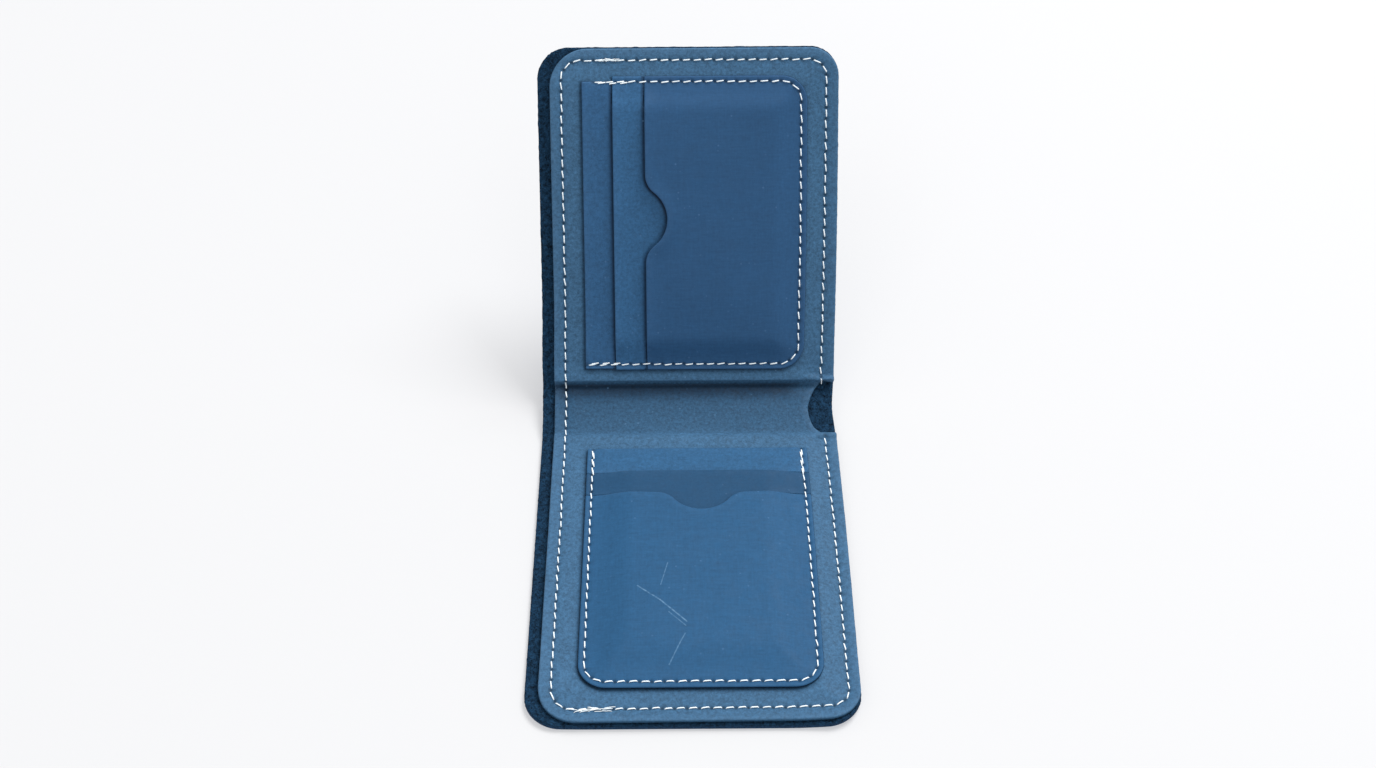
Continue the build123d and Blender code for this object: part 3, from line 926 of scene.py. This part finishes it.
def scratch(n, p, a, b, width, fade):
    """1 on a thin straight scratch from a to b on the pattern, 0 off it."""
    a, b = np.array(a, float), np.array(b, float)
    ab = b - a
    rel = n.vector("SUBTRACT", p, (a[0], a[1], 0)).outputs[0]
    flat = n.scaled(rel, (1, 1, 0))
    t = n.math("DIVIDE", n.vector("DOT_PRODUCT", flat, (ab[0], ab[1], 0)).outputs["Value"], float(ab @ ab), clamp=True)
    gap = n.vector("DISTANCE", flat, n.times((ab[0], ab[1], 0), t)).outputs["Value"]
    return n.math("MULTIPLY", n.ramp(gap, width, 0.0), fade)


def grain(name, colour, speckle=0.10, mottle=0.07, streak=0.04, wear=0.22, rough=0.62, pores=0.35, scratches=()):
    """Waxed nubuck: matt, mottled, finely speckled, paler where the edges are rubbed, with painted shade round the
    needle holes and where tone asks for it.
    """
    n = Nodes(name)
    p = n.attribute("pattern", "Vector")
    big = n.noise(p, 0.045, 2.0)
    middle = n.noise(p, 0.30, 3.0, 0.6)
    fine = n.noise(p, 1.0, 5.0, 0.85)
    hairs = n.noise(n.scaled(p, (0.2, 1.7, 1.0)), 1.0, 3.0, 0.6)
    threads_up = n.noise(n.scaled(p, (1.9, 0.16, 1.0)), 1.0, 3.0, 0.6)
    light = n.varied(1.0, big, 2.2 * mottle)
    light = n.varied(light, middle, 1.6 * mottle)
    light = n.varied(light, fine, 7.0 * speckle)
    light = n.varied(light, hairs, 4.0 * streak)
    light = n.varied(light, threads_up, 3.0 * streak)
    # painted shade in the needle holes
    hole = n.attribute("hole")
    light = n.math("MULTIPLY", light, n.math("MULTIPLY_ADD", hole, -0.85, 1.0))
    # painted shade from the tone attribute, taking more red than blue out
    tone = n.attribute("tone")
    hue = n.add("ShaderNodeCombineXYZ", {i: n.math("POWER", tone, power) for i, power in enumerate((1.45, 1.08, 0.95))})
    shade = n.times(n.scaled(hue.outputs[0], tuple(LEATHER * c for c in colour[:3])), light)
    edge = n.attribute("edge")
    rub = n.math("MULTIPLY", n.ramp(edge, 2.6, 0.2), n.ramp(n.noise(p, 0.55, 3.0, 0.7), 0.35, 0.68))
    pale = tuple(LEATHER * (c * 1.35 + 0.045) for c in colour[:3]) + (1.0,)
    out = n.mix(n.math("MULTIPLY", rub, wear), shade, pale)
    cells = n.add("ShaderNodeTexVoronoi", {"Vector": n.scaled(p, (1, 1, 0)), "Scale": 0.3}, voronoi_dimensions="3D")
    fleck = n.math("MULTIPLY", n.ramp(cells.outputs["Distance"], 0.12, 0.05), n.ramp(n.noise(p, 0.09), 0.42, 0.6))
    out = n.mix(n.math("MULTIPLY", fleck, 0.6), out, pale)
    for a, b, width, strength in scratches:
        fade = n.math("MULTIPLY", n.ramp(n.noise(p, 0.9, 2.0, 0.6), 0.25, 0.6), strength)
        out = n.mix(scratch(n, p, a, b, width, fade), out, srgb(112, 152, 184))
    n.put(n.shader.inputs["Base Color"], out)
    n.put(n.shader.inputs["Roughness"], n.ramp(middle, 0.3, 0.7, rough - 0.06, rough + 0.06))
    n.fix({"Specular IOR Level": 0.15, "Sheen Weight": 0.04, "Sheen Roughness": 0.5})
    pits, waves = n.noise(p, 3.4, 2.0, 0.7), n.noise(p, 0.8, 3.0, 0.6)
    relief = n.math("MULTIPLY_ADD", pits, pores, n.math("MULTIPLY", waves, 0.5))
    relief = n.math("MULTIPLY_ADD", hairs, 0.25, relief)
    return n.finished(relief, 0.55, 0.00012)


def suede(name, colour, contrast=0.5, rough=0.9):
    """Flesh side and cut edges: dark, fibrous and speckled."""
    n = Nodes(name)
    p = n.attribute("pattern", "Vector")
    tuft = n.noise(p, 0.8, 5.0, 0.8, 0.4)
    nap = n.noise(p, 2.2, 3.0, 0.75)
    light = n.varied(n.varied(1.0, tuft, 3.4 * contrast), nap, 2.0 * contrast)
    light = n.math("MAXIMUM", light, 0.15)
    n.put(n.shader.inputs["Base Color"], n.times(tuple(LEATHER * c for c in colour[:3]), light))
    n.fix({"Roughness": rough, "Specular IOR Level": 0.08})
    return n.finished(n.math("MULTIPLY_ADD", nap, 0.5, tuft), 0.9, 0.00035)


def cotton(name, colour):
    """Off-white sewing thread."""
    n = Nodes(name)
    p = n.attribute("pattern", "Vector")
    fibre = n.noise(p, 5.0, 2.0, 0.6)
    tone = n.noise(p, 0.25, 1.0)
    light = n.varied(n.varied(1.0, fibre, 0.35), tone, 0.25)
    n.put(n.shader.inputs["Base Color"], n.times(colour[:3], light))
    n.fix({"Roughness": 0.55, "Specular IOR Level": 0.35, "Sheen Weight": 0.15})
    return n.finished(fibre, 0.5, 0.00005)


LINER_COLOUR = srgb(71, 116, 154)
COVER_COLOUR = srgb(56, 102, 146)
MARKS = [  # scratches on the lower front pocket: from, to, width and strength
    ((from_left(27.7), 42.8), (from_left(34.3), 37.6), 0.30, 0.75),
    ((from_left(34.3), 37.6), (from_left(42.1), 29.8), 0.30, 0.75),
    ((from_left(36.9), 33.2), (from_left(41.8), 28.4), 0.24, 0.5),
    ((from_left(36.5), 51.1), (from_left(34.5), 43.1), 0.24, 0.5),
    ((from_left(41.6), 25.7), (from_left(37.0), 16.4), 0.26, 0.6),
]
# the pockets' cut edges: dark leather, darkened further as painted shade for the dark line along each pocket edge
edge_dark = suede("cut_edge", srgb(20, 44, 70), 0.4, 0.8)
liner_edge = suede("liner_edge", srgb(56, 97, 132), 0.5, 0.85)
flesh = suede("flesh_side", srgb(28, 59, 86), 1.5)
cover_edge = suede("cover_edge", srgb(34, 66, 98), 0.9)
liner_grain = grain("liner_grain", LINER_COLOUR, speckle=0.34, mottle=0.08, streak=0.04, wear=0.4)
cover_grain = grain("cover_grain", COVER_COLOUR, speckle=0.16, mottle=0.10, streak=0.03, wear=0.3)
grains = {
    "lower_back": grain("lower_back_grain", srgb(54, 107, 152), speckle=0.22, streak=0.05),
    "lower_middle": grain("lower_middle_grain", srgb(39, 87, 127), speckle=0.09, streak=0.04),
    "lower_front": grain("lower_front_grain", srgb(46, 100, 145), speckle=0.09, mottle=0.06, streak=0.09,
                         scratches=MARKS),
    "upper_back": grain("upper_back_grain", srgb(57, 106, 152), speckle=0.22, streak=0.05),
    "upper_middle": grain("upper_middle_grain", srgb(58, 109, 155), speckle=0.22, streak=0.05),
    "upper_front": grain("upper_front_grain", srgb(50, 96, 141), speckle=0.07, mottle=0.06, streak=0.07),
}
thread_material = cotton("thread", srgb(243, 252, 255))


def dress(o, *materials):
    for m in materials:
        o.data.materials.append(m)


dress(cover_lower, flesh, cover_edge, cover_grain)
dress(cover_upper, flesh, cover_edge, cover_grain)
dress(liner_lower, liner_grain, liner_edge, flesh)
dress(liner_upper, liner_grain, liner_edge, flesh)
for o in pockets:
    key = "_".join((o.name.split("_")[0], o.name.split("_")[2]))
    dress(o, grains[key], edge_dark, flesh)
for o in threads.values():
    dress(o, thread_material)

# ---- what each piece rides on and stands for
def fold_zone(at, before, after):
    """The two ends, in the row frame, of the stretch over which the leather bends at a fold."""
    return [tuple(place(2.0, at - before, AXIS_H)), tuple(place(2.0, at + after, AXIS_H))]


LOWER_ZONE, UPPER_ZONE = fold_zone(V1, 5.0, 6.0), fold_zone(V2, 6.0, 5.0)
for o in (cover_lower, liner_lower, threads["mouth_lower_thread"], threads["seam_lower_thread"]):
    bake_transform(o)
for o in (cover_upper, liner_upper, threads["mouth_upper_thread"], threads["seam_upper_thread"]):
    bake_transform(o)
for o in pockets:
    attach(o, "lower_half" if o.name.startswith("lower") else "upper_half")
for key in ("lower_pocket_stitches", "seam_lower_outer_thread"):
    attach(threads[key], "lower_half")
for key in ("upper_pocket_stitches", "seam_upper_outer_thread"):
    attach(threads[key], "upper_half")

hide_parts("cover_lower", "cover_spine")
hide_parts("cover_upper")
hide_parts("liner_lower", "liner_spine")
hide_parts("liner_upper")
for o in pockets:
    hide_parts(o.name.removesuffix("_sheet"))
for name, nodes in (
    ("seam_lower_thread", ["seam_thread_lower_inside"]),
    ("seam_upper_thread", ["seam_thread_upper_inside"]),
    ("seam_lower_outer_thread", ["seam_thread_lower_outside"]),
    ("seam_upper_outer_thread", ["seam_thread_upper_outside"]),
    ("mouth_lower_thread", ["mouth_thread_lower", "mouth_thread_spine"]),
    ("mouth_upper_thread", ["mouth_thread_upper"]),
    ("lower_pocket_stitches", ["lower_pocket_thread"]),
    ("upper_pocket_stitches", ["upper_pocket_thread"]),
):
    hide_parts(*nodes)

for o in pockets:
    stack, under = (LOWER, liner_lower) if o.name.startswith("lower") else (UPPER, liner_upper)
    if "front" in o.name:
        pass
    else:
        number = 0 if "back" in o.name else 1

# ---- floor, light and camera
def floor():
    """The plain pale floor."""
    size = 3.0
    verts = [(-size, -size, 0), (size, -size, 0), (size, size, 0), (-size, size, 0)]
    o = make_object("floor", np.array(verts), [[0, 1, 2, 3]])
    n = Nodes("floor")
    tint = n.noise(n.add("ShaderNodeTexCoord").outputs["Object"], 3.0, 1.0)
    n.put(n.shader.inputs["Base Color"], n.mix(tint, (0.365, 0.367, 0.37, 1), (0.375, 0.377, 0.38, 1)))
    n.fix({"Roughness": 0.8, "Specular IOR Level": 0.1})
    n.fix({"Emission Color": (1.0, 1.0, 1.02, 1), "Emission Strength": 0.41})
    o.data.materials.append(n.material)


def soft_light(name, place_at, aim, size, power):
    """A large white lamp, aimed at a point."""
    data = bpy.data.lights.new(name, "AREA")
    data.shape = "RECTANGLE"
    data.size, data.size_y = size
    data.energy = power
    o = bpy.data.objects.new(name, data)
    o.location = place_at
    o.rotation_euler = (Vector(aim) - Vector(place_at)).to_track_quat("-Z", "Y").to_euler()
    bpy.context.collection.objects.link(o)


floor()
soft_light("key", (1.0, 1.05, 2.4), (0, 0.05, 0.03), (1.5, 1.2), 75.0)
soft_light("front", (-0.2, -1.8, 2.0), (0, 0.04, 0.03), (2.8, 2.0), 21.0)
world = bpy.data.worlds.new("studio")
world.use_nodes = True
world.node_tree.nodes["Background"].inputs["Color"].default_value = (0.98, 0.985, 1.0, 1)
world.node_tree.nodes["Background"].inputs["Strength"].default_value = 0.54
bpy.context.scene.world = world
bpy.context.scene.view_settings.view_transform = "Standard"

PITCH, ROLL = 45.6, -0.4  # degrees
FOCAL_PER_WIDTH = 1788.0 / 1376.0
BELOW, DISTANCE = 0.0925, 0.4983  # how far the lower edge is below the middle of the view, and its distance, in m
camera = bpy.data.cameras.new("camera")
camera.sensor_width = 36.0
camera.lens = FOCAL_PER_WIDTH * camera.sensor_width
camera.clip_start = 0.02
eye = bpy.data.objects.new("camera", camera)
low_edge = Vector((-0.0006, FREE_Y * MM, (COVER_T + LINER_T) * MM))  # middle of the liner's lower edge, nearly
tilt = radians(PITCH)
upward, forward = Vector((0, sin(tilt), cos(tilt))), Vector((0, cos(tilt), -sin(tilt)))
eye.location = low_edge + upward * BELOW - forward * DISTANCE
eye.rotation_euler = (Matrix.Rotation(radians(90 - PITCH), 3, "X") @ Matrix.Rotation(radians(ROLL), 3, "Z")).to_euler()
bpy.context.collection.objects.link(eye)
bpy.context.scene.camera = eye
